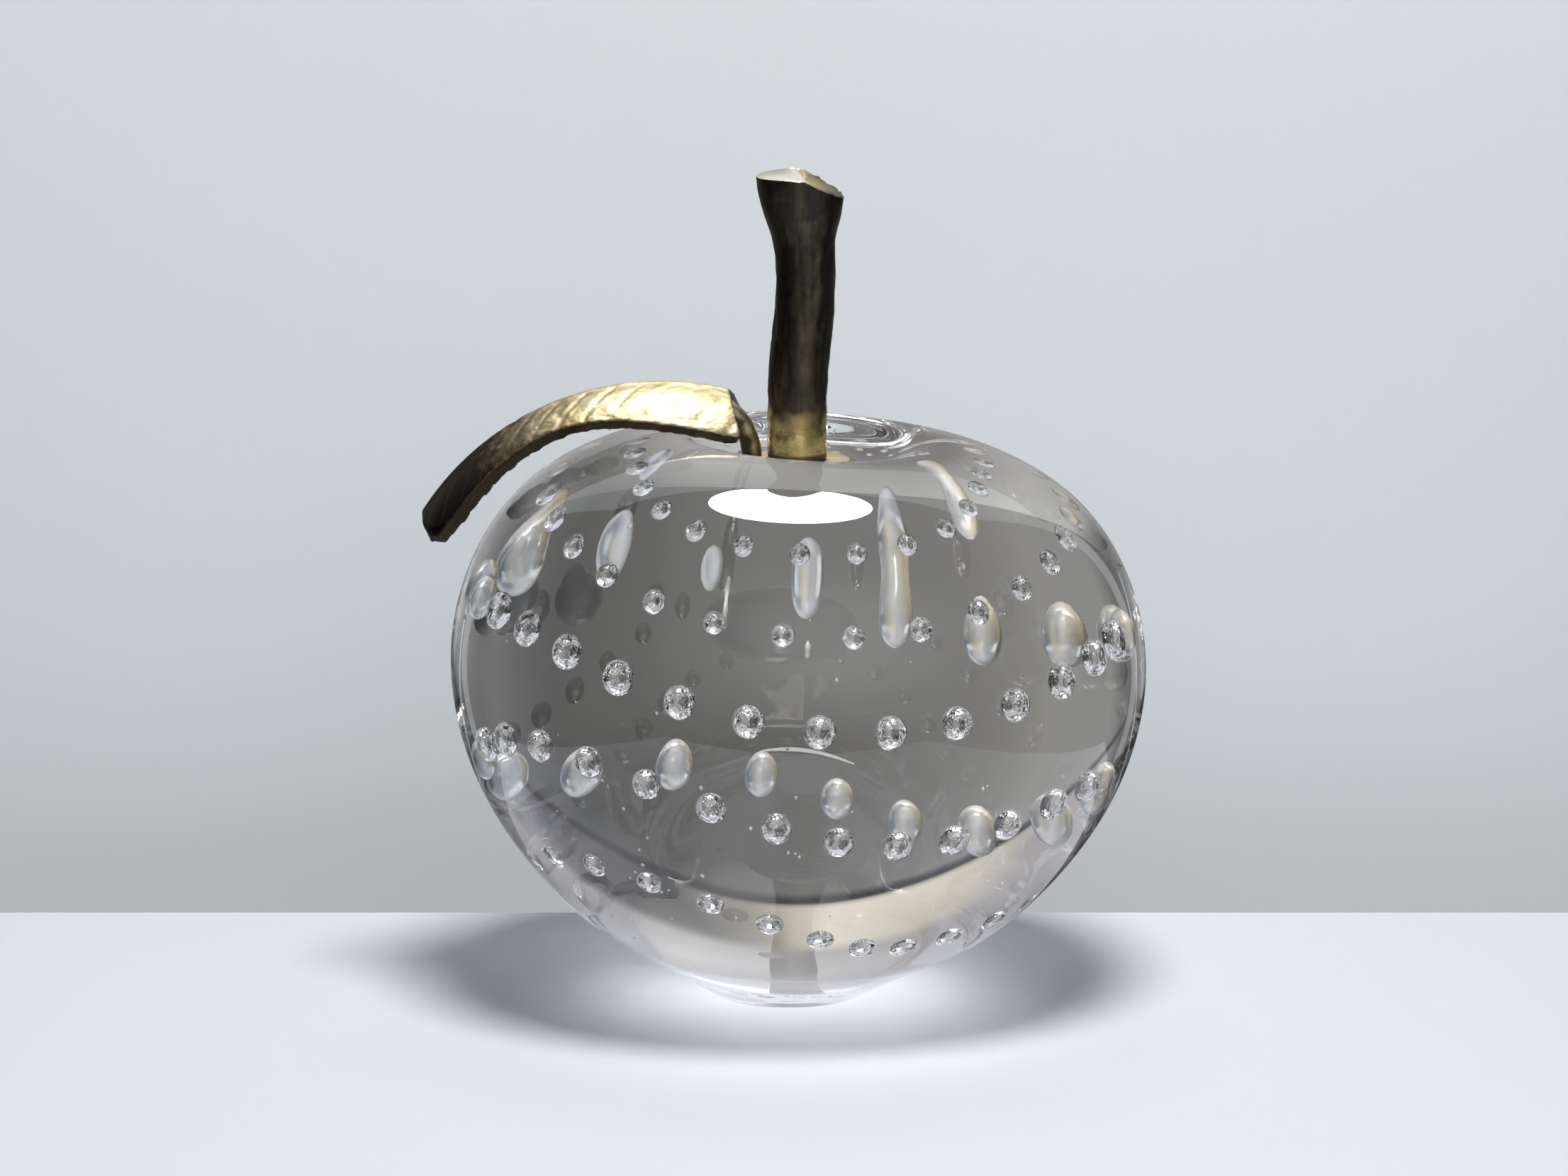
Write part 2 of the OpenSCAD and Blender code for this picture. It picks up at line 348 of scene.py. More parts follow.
class Shader:
    """Small helper that wires a procedural material."""

    def __init__(self, name: str) -> None:
        """Starts a material with a Principled surface.

        Args:
            name: the material's name.
        """
        self.material = bpy.data.materials.new(name)
        self.material.use_nodes = True
        self.tree = self.material.node_tree
        self.surface = self.tree.nodes["Principled BSDF"]
        self.end = self.tree.nodes["Material Output"].inputs["Surface"]
        self.coords = self.node("ShaderNodeTexCoord").outputs["Object"]

    def set(self, **values: object) -> None:
        """Sets the shader's own sockets.

        Args:
            values: socket names with underscores for spaces, and their values.
        """
        for key, value in values.items():
            self.surface.inputs[key.replace("_", " ")].default_value = value

    def node(self, kind: str, **inputs: object) -> bpy.types.Node:
        """Adds a node and links or sets its inputs.

        Args:
            kind: the node's type.
            inputs: socket names with underscores for spaces; a socket is linked.

        Returns:
            The node.
        """
        node = self.tree.nodes.new(kind)
        for key, value in inputs.items():
            socket = node.inputs[key.replace("_", " ")]
            if isinstance(value, Socket):
                self.tree.links.new(value, socket)
            else:
                socket.default_value = value
        return node

    def link(self, output: Socket, name: str) -> None:
        """Links an output to one of the surface's sockets.

        Args:
            output: the output.
            name: the surface's socket.
        """
        self.tree.links.new(output, self.surface.inputs[name])

    def noise(self, scale: float, detail: float = 4.0, rough: float = 0.55) -> Socket:
        """Adds a noise texture in object space.

        Args:
            scale: cycles in a metre.
            detail: octaves.
            rough: strength of the finer octaves.

        Returns:
            Its value output.
        """
        return self.node(
            "ShaderNodeTexNoise", Vector=self.coords, Scale=scale, Detail=detail, Roughness=rough,
        ).outputs["Fac"]

    def attribute(self, name: str) -> Socket:
        """Reads a number that is stored in the mesh.

        Args:
            name: the attribute.

        Returns:
            Its value.
        """
        node = self.node("ShaderNodeAttribute")
        node.attribute_name = name
        return node.outputs["Fac"]

    def spread(self, value: Socket, low: float, high: float) -> Socket:
        """Maps a range of values to 0 to 1.

        Args:
            value: what it reads.
            low: value that becomes 0.
            high: value that becomes 1.

        Returns:
            The mapped value.
        """
        node = self.node("ShaderNodeMapRange", Value=value, From_Min=low, From_Max=high)
        return node.outputs["Result"]

    def ramp(self, value: Socket, stops: Stops) -> Socket:
        """Adds a colour ramp.

        Args:
            value: what it reads.
            stops: position and tone of each stop.

        Returns:
            Its colour output.
        """
        node = self.node("ShaderNodeValToRGB", Fac=value)
        elements = node.color_ramp.elements
        elements[0].position, elements[-1].position = stops[0][0], stops[-1][0]
        elements[0].color, elements[-1].color = rgba(stops[0][1]), rgba(stops[-1][1])
        for place, tone in stops[1:-1]:
            elements.new(place).color = rgba(tone)
        return node.outputs["Color"]

    def mix(self, factor: Socket, first: Socket, second: object) -> Socket:
        """Mixes two colours.

        Args:
            factor: share of the second.
            first: colour at 0.
            second: tone or socket at 1.

        Returns:
            The mixed colour.
        """
        node = self.tree.nodes.new("ShaderNodeMix")
        node.data_type = "RGBA"
        share, low, high = node.inputs[0], node.inputs[6], node.inputs[7]
        self.tree.links.new(factor, share)
        self.tree.links.new(first, low)
        if isinstance(second, Socket):
            self.tree.links.new(second, high)
        else:
            high.default_value = rgba(second)
        return node.outputs[2]

    def bump(self, height: Socket, strength: float, relief: float) -> None:
        """Roughens the surface normal.

        Args:
            height: what it reads.
            strength: 0 to 1.
            relief: height of the relief.
        """
        node = self.node("ShaderNodeBump", Height=height, Strength=strength, Distance=relief * MM)
        self.link(node.outputs["Normal"], "Normal")

    def one_sided(self) -> None:
        """Makes the material clear from behind."""
        front = self.end.links[0].from_socket
        mix = self.node("ShaderNodeMixShader")
        behind = self.node("ShaderNodeNewGeometry").outputs["Backfacing"]
        clear = self.node("ShaderNodeBsdfTransparent").outputs[0]
        for output, socket in zip((behind, front, clear), mix.inputs):
            self.tree.links.new(output, socket)
        self.tree.links.new(mix.outputs[0], self.end)


@dataclass(frozen=True)
class GlassFinish:
    """Clear fire-polished glass."""

    name: str = "clear_glass"
    tint: Colour = (0.985, 0.985, 0.975)
    waves: float = 55.0
    ripple: float = 0.012
    relief: float = 2.0

    def material(self) -> Material:
        """Makes the material.

        Returns:
            Glass with the faint waviness of a hand-blown skin.
        """
        shader = Shader(self.name)
        shader.set(
            Base_Color=rgba(self.tint), Roughness=0.0, IOR=GLASS_IOR, Transmission_Weight=1.0,
        )
        shader.bump(shader.noise(self.waves, 2.0), self.ripple, self.relief)
        return shader.material


@dataclass(frozen=True)
class BubbleFinish:
    """Inner face of the trapped air: glass chilled by the mould's pins, finely wrinkled. It can
    be made partly milky and tinted, for the painted highlight and colour fringe of the rear
    bubbles.
    """

    name: str = "bubble_glass"
    wrinkle: float = 0.8
    grain: float = 1400.0
    relief: float = 0.35
    roughness: float = 0.0
    clear: float = 1.0
    painted_fringe: bool = False

    def material(self) -> Material:
        """Makes the material.

        Returns:
            The same glass with a wrinkled face.
        """
        shader = Shader(self.name)
        shader.set(
            Base_Color=rgba(1.0), Roughness=self.roughness, IOR=GLASS_IOR,
            Transmission_Weight=self.clear,
        )
        # Painted colour fringe: the base colour turns yellow or blue with the slant of the face
        if self.painted_fringe:
            slant = shader.node("ShaderNodeVectorMath")
            slant.operation = "DOT_PRODUCT"
            slant.inputs[1].default_value = PAINTED_FRINGE_AXIS
            normal = shader.node("ShaderNodeNewGeometry").outputs["Normal"]
            shader.tree.links.new(normal, slant.inputs[0])
            place = shader.spread(slant.outputs["Value"], -0.5, 0.5)
            shader.link(shader.ramp(place, PAINTED_FRINGE), "Base Color")
        shader.bump(shader.noise(self.grain, 1.5, 0.5), self.wrinkle, self.relief)
        return shader.material


@dataclass(frozen=True)
class GroundFinish:
    """Glass ground with grit: the drilled socket and its seat."""

    name: str = "ground_glass"
    grain: float = 2600.0
    shades: Stops = ((0.3, 0.5), (0.7, 0.8))

    def material(self) -> Material:
        """Makes the material.

        Returns:
            Grey frosted glass with fine drill marks.
        """
        shader = Shader(self.name)
        marks = shader.noise(self.grain, 3.0)
        shader.set(Roughness=0.3, IOR=GLASS_IOR, Transmission_Weight=1.0)
        shader.link(shader.ramp(marks, self.shades), "Base Color")
        shader.bump(marks, 0.5, 0.1)
        return shader.material


@dataclass(frozen=True)
class CementFinish:
    """Cured epoxy."""

    name: str = "clear_cement"
    grain: float = 500.0
    shades: Stops = (
        (0.35, (0.03, 0.03, 0.032)), (0.55, (0.08, 0.078, 0.08)), (0.75, (0.3, 0.29, 0.28)),
    )

    def material(self) -> Material:
        """Makes the material.

        Returns:
            Dark, cloudy resin with a gloss.
        """
        shader = Shader(self.name)
        cloud = shader.noise(self.grain, 3.0)
        shader.set(Roughness=0.3, IOR=RESIN_IOR, Coat_Weight=0.3)
        shader.link(shader.ramp(cloud, self.shades), "Base Color")
        shader.bump(cloud, 0.3, 0.2)
        return shader.material


@dataclass(frozen=True)
class StudFinish:
    """Zinc-plated steel thread."""

    name: str = "stud_steel"
    grain: float = 700.0
    shades: Stops = ((0.35, (0.12, 0.11, 0.1)), (0.7, (0.5, 0.49, 0.47)))
    roughness: Stops = ((0.3, 0.5), (0.8, 0.25))

    def material(self) -> Material:
        """Makes the material.

        Returns:
            Grey steel with oily dark patches.
        """
        shader = Shader(self.name)
        stain = shader.noise(self.grain)
        shader.set(Metallic=1.0)
        shader.link(shader.ramp(stain, self.shades), "Base Color")
        shader.link(shader.ramp(stain, self.roughness), "Roughness")
        return shader.material


@dataclass(frozen=True)
class StemFinish:
    """Patinated cast brass, bright at its foot and on its cut face, with painted shade in a thin
    band where it sits on the eye.
    """

    name: str = "stem_patina"
    dark_tone: Stops = (
        (0.3, (0.045, 0.041, 0.033)), (0.55, (0.092, 0.080, 0.055)), (0.8, (0.17, 0.14, 0.085)),
    )
    rubbed: Stops = ((0.8, (0.58, 0.44, 0.17)), (0.95, (0.86, 0.80, 0.66)))
    streaks: Place = (900.0, 900.0, 60.0)
    grain: float = 1400.0
    roughness: Stops = ((0.3, 0.40), (0.8, 0.58))
    worn_roughness: float = 0.22

    def material(self) -> Material:
        """Makes the material.

        Returns:
            Dark brass whose patina runs in upright streaks and wears off where it was rubbed.
        """
        shader = Shader(self.name)
        streaky = shader.node("ShaderNodeMapping", Vector=shader.coords, Scale=self.streaks)
        streaks = shader.node(
            "ShaderNodeTexNoise", Vector=streaky.outputs["Vector"], Scale=1.0, Detail=5.0,
            Roughness=0.6,
        ).outputs["Fac"]
        # The stored wear also holds painted shade in a thin band at the stem's base
        wear_and_shade = shader.attribute("wear_and_shade")
        bright = shader.ramp(wear_and_shade, self.rubbed)
        shader.set(Metallic=1.0)
        shader.link(shader.mix(wear_and_shade, shader.ramp(streaks, self.dark_tone), bright), "Base Color")
        pits = shader.noise(self.grain, 5.0, 0.65)
        rough = shader.ramp(pits, self.roughness)
        shader.link(shader.mix(wear_and_shade, rough, self.worn_roughness), "Roughness")
        shader.bump(pits, 0.35, 0.12)
        return shader.material


@dataclass(frozen=True)
class LeafFinish:
    """Bright cast brass with painted shade on its edges and grooves where they turn in under the
    arch, and a darker tip.
    """

    name: str = "leaf_brass_cast"
    bright: Stops = ((0.3, (0.27, 0.205, 0.09)), (0.7, (0.40, 0.35, 0.235)))
    dark: Colour = (0.035, 0.026, 0.016)
    grain: float = 1700.0
    roughness: Stops = ((0.25, 0.34), (0.8, 0.55))

    def material(self) -> Material:
        """Makes the material.

        Returns:
            Bright brass that turns dark where the mesh holds painted shade and towards the tip,
            with cast pits and file marks.
        """
        shader = Shader(self.name)
        bright = shader.ramp(shader.noise(260, 5.0, 0.6), self.bright)
        shader.set(Metallic=1.0)
        # The stored dark tone mixes in the dark colour: painted shade under the arch, and the
        # darker tip
        shader.link(shader.mix(shader.attribute("dark_tone"), bright, self.dark), "Base Color")
        pits = shader.noise(self.grain, 6.0, 0.7)
        shader.link(shader.ramp(pits, self.roughness), "Roughness")
        shader.bump(pits, 0.3, 0.1)
        return shader.material


@dataclass(frozen=True)
class StageFinish:
    """Matt paper of table and wall."""

    name: str
    colour: Colour

    def material(self) -> Material:
        """Makes the material.

        Returns:
            Plain matt paper that is clear from behind.
        """
        shader = Shader(self.name)
        shader.set(Roughness=0.7, Base_Color=rgba(self.colour), Specular_IOR_Level=0.3)
        shader.one_sided()
        return shader.material


@dataclass(frozen=True)
class PaintedLightCardFinish:
    """Glowing card of painted light and shade, which only glass and polished metal see: in the
    glass it stands in for the wall and table behind, with the apple's painted shadow, a painted
    caustic pool and dark ends.
    """

    name: str = "painted_light_card_glow"
    strength: float = 1.0
    half: float = 80.0
    tall: float = 100.0
    edge: float = 0.383

    def material(self) -> Material:
        """Makes the material.

        Returns:
            A card that glows by itself with its painted light and shade, so that real shadows
            don't change it.
        """
        shader = Shader(self.name)
        place = shader.node("ShaderNodeSeparateXYZ", Vector=shader.coords).outputs
        across = shader.spread(place["X"], -self.half * MM, self.half * MM)
        rise = shader.spread(place["Z"], 0.0, self.tall * MM)
        edge = self.edge
        # Masks for the band over the edge, for the top, and for the painted dark line along the
        # edge
        over = shader.ramp(rise, ((edge, 0.0), (edge + 0.003, 1.0)))
        top = shader.ramp(rise, ((edge + 0.09, 0.0), (edge + 0.13, 1.0)))
        line = shader.ramp(rise, (
            (edge - 0.008, 0.0), (edge - 0.001, 1.0), (edge + 0.004, 1.0), (edge + 0.009, 0.0),
        ))
        # Painted shade below the edge, the painted caustic band over it, painted shade at the
        # top, and the painted dark line
        tone = shader.mix(over, shader.ramp(across, PAINTED_CARD_FOOT), shader.ramp(across, PAINTED_CARD_CAUSTIC_BAND))
        tone = shader.mix(top, tone, shader.ramp(across, PAINTED_CARD_TOP))
        tone = shader.mix(line, tone, PAINTED_CARD_DARK_LINE)
        # The card glows with these painted greys, though it is no lamp
        glow = shader.node("ShaderNodeEmission", Color=tone, Strength=self.strength)
        shader.tree.links.new(glow.outputs[0], shader.end)
        shader.one_sided()
        return shader.material


def backness(turn: float) -> float:
    """Tells how far round to the back an azimuth is.

    Args:
        turn: azimuth from the front.

    Returns:
        0 at the front, 1 at the back.
    """
    return ((1 - math.cos(turn)) / 2) ** 3


@dataclass(frozen=True)
class Ring:
    """One ring of bubbles, as the part's drawing has it. Its azimuths are in degrees.

    The front has a height, a depth under the skin, a bubble's diameter, the azimuth of its
    first bubble, and a rise to both sides of its lowest azimuth; the back has its own
    height and depth, and a fall towards +X.
    """

    height: float
    depth: float
    diameter: float
    first: float
    rise: float
    lowest: float
    back_height: float
    back_depth: float
    back_fall: float

    def height_at(self, turn: float) -> float:
        """Gives the ring's height.

        Args:
            turn: azimuth from the front towards +X.

        Returns:
            Height in the blown shape's frame.
        """
        front = self.height + self.rise * math.sin(turn - math.radians(self.lowest)) ** 2
        rear = self.back_height - self.back_fall * math.sin(turn)
        return front + (rear - front) * backness(turn)


RINGS: tuple[Ring, ...] = (
    Ring(53.5, 9.5, 2.2, -1.8, 2, 0, 52, 12, 0),
    Ring(46.8, 10.5, 2.4, -4.2, 4.2, 3, 45, 15, 1.5),
    Ring(37.4, 12.5, 3.3, -10.5, 5, 12, 35, 18.6, 2.2),
    Ring(26, 12.5, 3.1, -3.9, 6.5, 25, 28.6, 19, 3.4),
    Ring(13.6, 7.5, 2.8, -5, 7.5, 32, 15, 9, 2),
)
BACK_SIZE = 0.62
BACK_TURN = math.radians(-6)


def around(turn: float, radius: float, height: float) -> Vector:
    """Gives a point of the blown shape by its azimuth.

    Args:
        turn: azimuth from the front towards +X.
        radius: distance from the axis.
        height: over the foot.

    Returns:
        The point in the blown shape's frame.
    """
    return Vector((radius * math.sin(turn), -radius * math.cos(turn), height))


@dataclass
class BlownApple:
    """The glass: skin, foot, seat, socket, bubbles and seeds."""

    per_ring: int = 24
    steps: int = 192
    rear_y: float = 4.0
    seeds: int = 90
    seed_low: float = 9.0
    seed_high: float = 53.0
    foot_bubbles: int = 40
    foot_ring_r: float = 11.4
    foot_ring_z: float = 3.1
    skin: list[Point] = field(default_factory=list)

    def build(self) -> Piece:
        """Models the glass.

        Returns:
            One object: the outer skin and, turned inwards, every bubble.
        """
        drawn = [(max(0.0, r) * GLASS_R, z * GLASS_H) for r, z in spline(SKIN_CONTROLS, 14)]
        end_r, end_z = UNDERSIDE[1]
        join = next(i for i, (r, z) in enumerate(drawn) if r >= end_r and z >= end_z)
        self.skin = [(0.0, UNDERSIDE[0][1]), *UNDERSIDE] + drawn[join:]
        body = lathe("glass_apple", self.skin, self.steps)
        body.rotation_euler[1] = LEAN
        body.location[0] = FOOT_SHIFT * MM
        body = joined("glass_apple", [body])
        with editing(body):
            bpy.ops.mesh.bisect(
                plane_co=(0, 0, 0), plane_no=(0, 0, 1), use_fill=True, clear_inner=True,
            )
        drill(body, EYE_R + SEAT_ROOM, SEAT_Z, GLASS_H, 96)
        drill(body, SOCKET_R, SEAT_Z - SOCKET_DEPTH, GLASS_H, 48)
        self.frost(body)
        bpy.ops.object.shade_smooth_by_angle(angle=math.radians(35))
        return joined("glass_apple", [self.voids(), body])

    def frost(self, body: Piece) -> None:
        """Gives the seat and the socket their ground surface.

        Args:
            body: the glass.
        """
        body.data.materials.append(GlassFinish().material())
        body.data.materials.append(GroundFinish().material())
        spare = 0.1
        reach = (EYE_R + SEAT_ROOM + spare) * MM
        low = (SEAT_Z - SOCKET_DEPTH - spare) * MM
        axis = Vector((STEM_X * MM, 0, 0))
        for face in body.data.polygons:
            away = face.center - axis
            inside = away.x**2 + away.y**2 < reach**2 and face.center.z > low
            flat_or_wall = abs(face.normal.z) < 0.01 or face.normal.z > 0.9999
            face.material_index = 1 if inside and flat_or_wall else 0

    def shell_radius(self, depth: float, height: float) -> float:
        """Finds how far from the axis a point lies, under the rising skin.

        Args:
            depth: distance under the skin.
            height: height in the blown shape's frame.

        Returns:
            The radius.
        """
        rows = []
        for before, here, after in zip(self.skin, self.skin[1:], self.skin[2:]):
            step = Vector(after) - Vector(before)
            if step.y > 0:
                up, back = depth * step.x / step.length, depth * step.y / step.length
                rows.append((here[1] + up, here[0] - back))
        below = max((row for row in rows if row[0] <= height), default=rows[0])
        above = min((row for row in rows if row[0] > height), default=rows[-1])
        if above[0] <= below[0]:
            return below[1]
        share = (height - below[0]) / (above[0] - below[0])
        return below[1] + share * (above[1] - below[1])

    def bubble_places(self) -> list[tuple[Vector, float]]:
        """Works out where the mould pressed its bubbles.

        Returns:
            Centre in the part's frame, and diameter, of each bubble.
        """
        places = []
        for ring in RINGS:
            for i in range(self.per_ring):
                turn = math.radians(ring.first + 360 * i / self.per_ring)
                back = backness(turn)
                height = ring.height_at(turn)
                depth = ring.depth + (ring.back_depth - ring.depth) * back
                radius = self.shell_radius(depth, height)
                centre = around(turn + BACK_TURN * back, radius, height)
                places.append((leaning(centre), ring.diameter * (1 + (BACK_SIZE - 1) * back)))
        return places

    def seed_places(self) -> list[tuple[Vector, float]]:
        """Scatters fine seeds through the glass and tiny bubbles round its foot.

        Returns:
            Centre in the part's frame, and diameter, of each.
        """
        places = []
        for index in range(self.seeds):
            spot = noise.noise_vector(Vector((index * 7.31, index * 3.17, 5.5)))
            along = noise.noise_vector(Vector((index * 1.93, 8.8, index * 5.77)))
            height = min(max(32 + 40 * along.x, self.seed_low), self.seed_high)
            radius = self.shell_radius(3 + 20 * abs(along.y), height)
            centre = around(math.pi * 2.2 * spot.x, radius, height)
            places.append((leaning(centre), 0.25 + 0.5 * abs(spot.y)))
        for index in range(self.foot_bubbles):
            jitter = noise.noise_vector(Vector((index * 2.71, 4.4, index * 1.31)))
            turn = math.tau * (index + 0.9 * jitter.x) / self.foot_bubbles
            centre = around(turn, self.foot_ring_r, self.foot_ring_z + 0.4 * jitter.y)
            places.append((leaning(centre), 0.75 + 0.5 * jitter.z))
        return places

    def voids(self) -> Piece:
        """Models all bubbles and seeds as air inside the glass.

        Returns:
            One object whose faces look into the air.
        """
        # Rear bubbles: a copy of the bubble glass made partly milky white and rough, a painted
        # highlight that gives them bright cores, with a painted colour fringe
        rear = BubbleFinish(
            "bubble_glass_rear_painted_bright", wrinkle=0.3, grain=700.0, relief=0.15, roughness=0.14, clear=0.7,
            painted_fringe=True,
        )
        front = BubbleFinish().material()
        behind = rear.material()
        big, small = self.ball(3, front), self.ball(1, behind)
        copies = []
        for centre, diameter in self.bubble_places():
            wobble = noise.noise_vector(centre * 3.7)
            size = diameter * (1 + 0.06 * wobble.x)
            copy = self.placed(big, centre, (size, size, size * (1 + 0.08 * wobble.y)))
            if centre.y > self.rear_y:
                copy.data.materials[0] = behind
            copies.append(copy)
        for centre, size in self.seed_places():
            copies.append(self.placed(small, centre, (size, size, size)))
        bpy.data.objects.remove(big)
        bpy.data.objects.remove(small)
        voids = joined("voids", copies)
        with editing(voids):
            bpy.ops.mesh.flip_normals()
        return voids

    def ball(self, fineness: int, material: Material) -> Piece:
        """Models the ball that bubbles are copied from.

        Args:
            fineness: subdivisions.
            material: of its face.

        Returns:
            A smooth ball of 1 mm diameter.
        """
        deselect()
        bpy.ops.mesh.primitive_ico_sphere_add(subdivisions=fineness, radius=0.5 * MM)
        bpy.ops.object.shade_smooth()
        ball = bpy.context.object
        ball.data.materials.append(material)
        return ball

    def placed(self, model: Piece, centre: Vector, scale: Sequence[float]) -> Piece:
        """Copies a bubble to its place.

        Args:
            model: ball of 1 mm diameter.
            centre: of the copy.
            scale: its diameters.

        Returns:
            The copy, with its own mesh.
        """
        copy = model.copy()
        copy.data = model.data.copy()
        copy.location = centre * MM
        copy.scale = scale
        bpy.context.collection.objects.link(copy)
        return copy

    def dress(self) -> None:
        """Builds the glass and puts it in place of the CAD node."""
        glass = self.build()
        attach(glass, Body.APPLE.value)
        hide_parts("glass_body")
        LOG.info("glass: %d faces", len(glass.data.polygons))


@dataclass
class SocketFilling:
    """Cement and stud inside the crown."""

    pitch: float = 0.7
    air: float = 0.04
    groove_r: float = STUD_R - 0.42
    crest_r: float = STUD_R - 0.02

    def build_cement(self) -> Piece:
        """Models the cement ring with a meniscus at its top.

        Returns:
            The object.
        """
        bottom = SEAT_Z - SOCKET_DEPTH + self.air
        top = SEAT_Z - CEMENT_DROP
        outer = SOCKET_R - self.air
        inner = STUD_R + self.air
        floor = bottom + STUD_ROOM - self.air
        outline = [
            (0, bottom), (outer - 0.4, bottom), (outer, bottom + 0.4), (outer, top - 0.25),
            (outer - 0.15, top - 0.05), (outer - 0.5, top - 0.15), (inner + 0.2, top - 0.1),
            (inner, top), (inner, floor), (0, floor),
        ]
        ring = lathe("socket_resin", outline, 48)
        ring.location[0] = STEM_X * MM
        ring.data.materials.append(CementFinish().material())
        ring = joined("socket_resin", [ring])
        bpy.ops.object.shade_smooth_by_angle(angle=math.radians(40))
        return ring

    def build_stud(self) -> Piece:
        """Models the stud with its thread.

        Returns:
            The object.
        """
        bottom = SEAT_Z - SOCKET_DEPTH + STUD_ROOM
        top = STEM_Z + TAPPED_DEPTH
        outline = [(0.0, bottom), (STUD_R - 0.5, bottom)]
        for i in range(int((top - bottom) / self.pitch)):
            root = bottom + 0.1 + i * self.pitch
            outline += [
                (self.groove_r, root), (self.crest_r, root + self.pitch * 0.45),
                (self.crest_r, root + self.pitch * 0.55),
            ]
        outline += [(self.groove_r, top - 0.05), (0.0, top - 0.05)]
        stud = lathe("stud_threaded", outline, 40)
        stud.location[0] = STEM_X * MM
        stud.data.materials.append(StudFinish().material())
        return joined("stud_threaded", [stud])

    def dress(self) -> None:
        """Builds both and puts them in place of their CAD nodes."""
        for piece, slot, node in (
            (self.build_cement(), Slot.CEMENT, "socket_cement"),
            (self.build_stud(), Slot.STEEL, "stud"),
        ):
            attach(piece, Body.APPLE.value)
            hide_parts(node)
            LOG.info("%s: %d faces", piece.name, len(piece.data.polygons))


